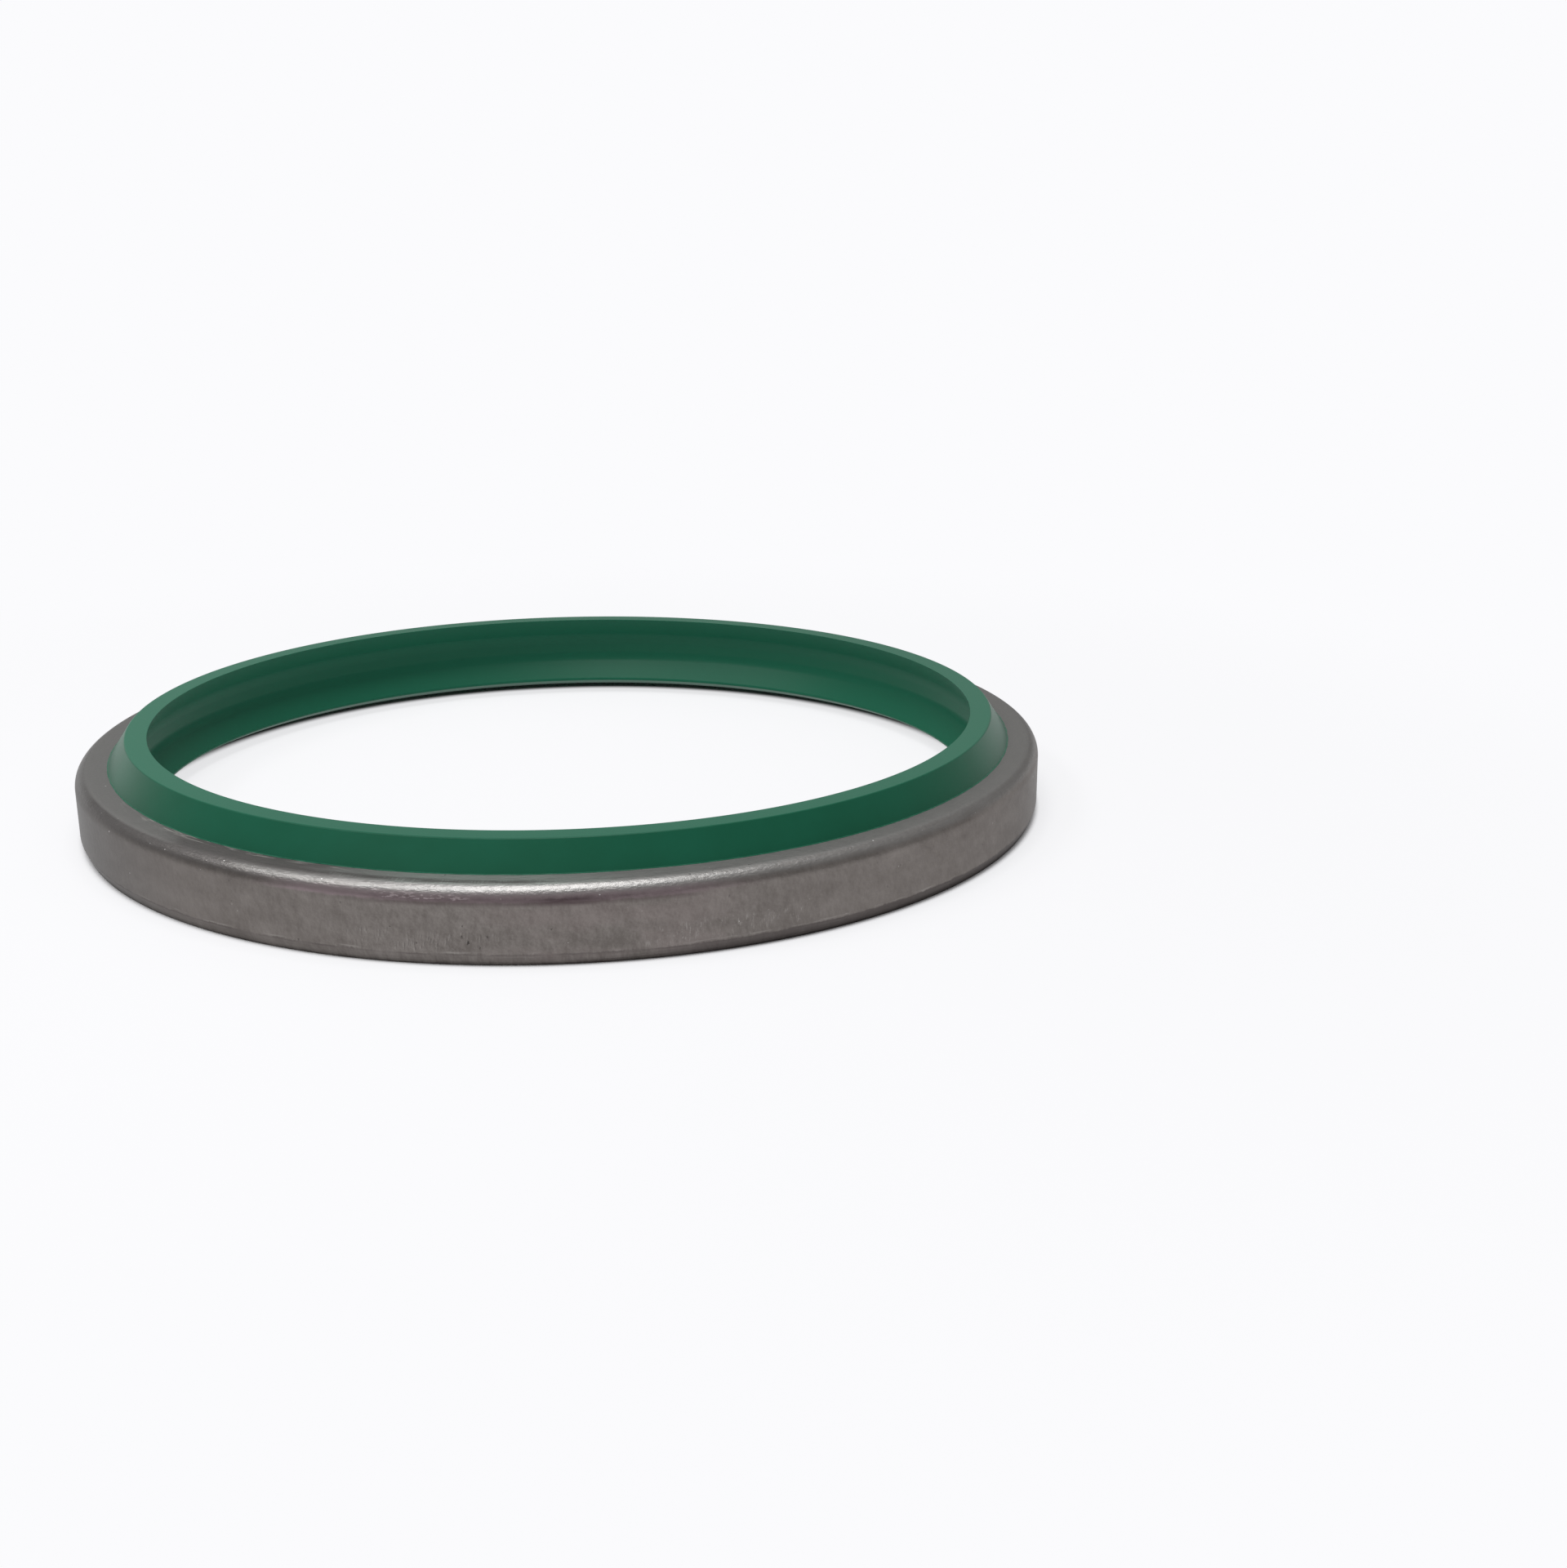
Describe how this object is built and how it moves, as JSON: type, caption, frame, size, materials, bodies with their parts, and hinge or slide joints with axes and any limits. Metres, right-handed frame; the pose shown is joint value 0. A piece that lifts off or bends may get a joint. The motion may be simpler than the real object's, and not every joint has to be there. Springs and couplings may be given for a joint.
{
  "type": "hydraulic wiper seal",
  "caption": "Round metal-cased rod wiper seal: a green polyurethane ring with a wiping lip and an oil-side lip, moulded into a drawn steel case that presses into a cylinder head.",
  "frame": {"origin": "on the rod's axis, in the plane of the case's free edge, on which the seal lies", "axes": "+Z along the rod's axis, towards the dirt side and the wiping lip"},
  "size_m": [0.114, 0.114, 0.011],
  "materials": {
    "steel": "bare drawn steel, satin grey, with a turned lead-in",
    "polyurethane": "satin green moulded polyurethane"
  },
  "bodies": {
    "root": {"steel_case": "steel", "wiper_element": "polyurethane"}
  },
  "joints": []
}
